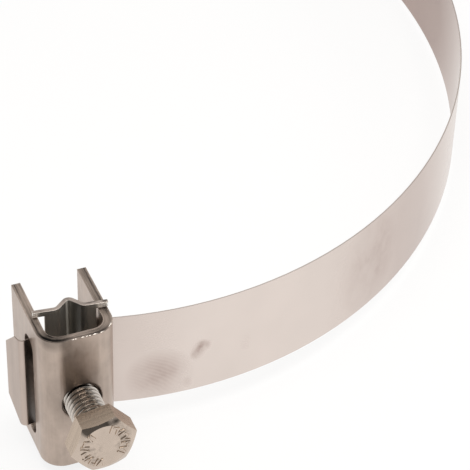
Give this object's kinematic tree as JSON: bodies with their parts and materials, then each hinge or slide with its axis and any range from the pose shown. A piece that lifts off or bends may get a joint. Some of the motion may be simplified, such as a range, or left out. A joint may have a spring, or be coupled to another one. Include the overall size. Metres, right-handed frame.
{
  "type": "earthing pipe clamp",
  "caption": "Earthing clamp for pipes: a folded stainless head with a hexagon screw and a V-grooved saddle plate, on a thin steel band sweeping in a wide open loop.",
  "frame": {"origin": "bottom centre of the bounding box, at the height of the saddle plate's lower edge", "axes": "+Y from the screw's head through the clamp head towards the pipe, along the screw; +Z upright along the pipe's direction; +X to the side on which the band leaves the head"},
  "size_m": [0.1556, 0.334, 0.0397],
  "materials": {
    "head_steel": "satin stainless sheet, warm grey",
    "saddle_steel": "pressed stainless sheet, bright edges",
    "screw_steel": "cold-formed stainless, slightly bright",
    "band_steel": "bright rolled stainless strip"
  },
  "bodies": {
    "clamp": {"clamp_bracket": "head_steel", "tension_band": "band_steel"},
    "saddle": {"saddle_plate": "saddle_steel"},
    "screw": {"clamp_screw": "screw_steel"}
  },
  "joints": [
    {"name": "saddle_slide", "type": "slide", "parent": "clamp", "child": "saddle", "axis": [0, 1, 0], "range_m": [-0.00313, 0]},
    {"name": "screw_turn", "type": "hinge", "parent": "saddle", "child": "screw", "pos_m": [-0.06561, -0.15222, 0.01985], "axis": [0, 1, 0], "range_deg": [-900, 0]}
  ],
  "couplings": [
    {"joint": "saddle_slide", "follows": "screw_turn", "m_per_rad": 0.00019894}
  ]
}
